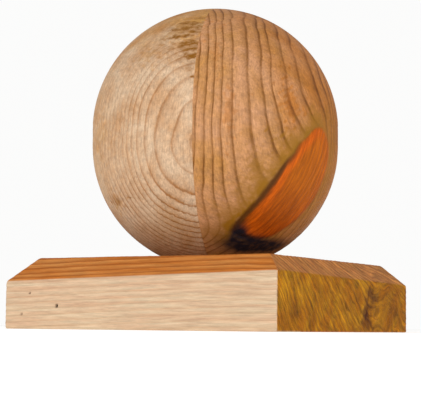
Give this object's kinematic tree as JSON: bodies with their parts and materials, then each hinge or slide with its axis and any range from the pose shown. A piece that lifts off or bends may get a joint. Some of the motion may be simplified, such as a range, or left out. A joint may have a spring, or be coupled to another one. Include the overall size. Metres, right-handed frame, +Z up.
{
  "type": "fence post cap",
  "caption": "Square wooden cap plate with bevelled top edges and a turned wooden ball on top, screwed to the head of a fence post to finish it and shed rain.",
  "frame": {"origin": "centre of the cap plate's flat underside, where it sits on the post", "axes": "+Z up, away from the post; -Y is the front face, +X the right face; the plate's grain runs along X"},
  "size_m": [0.12, 0.12, 0.154],
  "materials": {
    "plate_wood": "planed softwood, bare, sapwood cream to reddish brown",
    "ball_left_wood": "turned softwood, bare, pale flat-sawn grain",
    "ball_right_wood": "turned softwood, bare, pink-brown grain with a spike knot",
    "zinc_plated_steel": "bright zinc plate"
  },
  "bodies": {
    "root": {"cap_plate": "plate_wood", "ball_left_board": "ball_left_wood", "ball_right_board": "ball_right_wood", "dowel_screw": "zinc_plated_steel", "post_screw_1": "zinc_plated_steel", "post_screw_2": "zinc_plated_steel", "post_screw_3": "zinc_plated_steel", "post_screw_4": "zinc_plated_steel"}
  },
  "joints": []
}
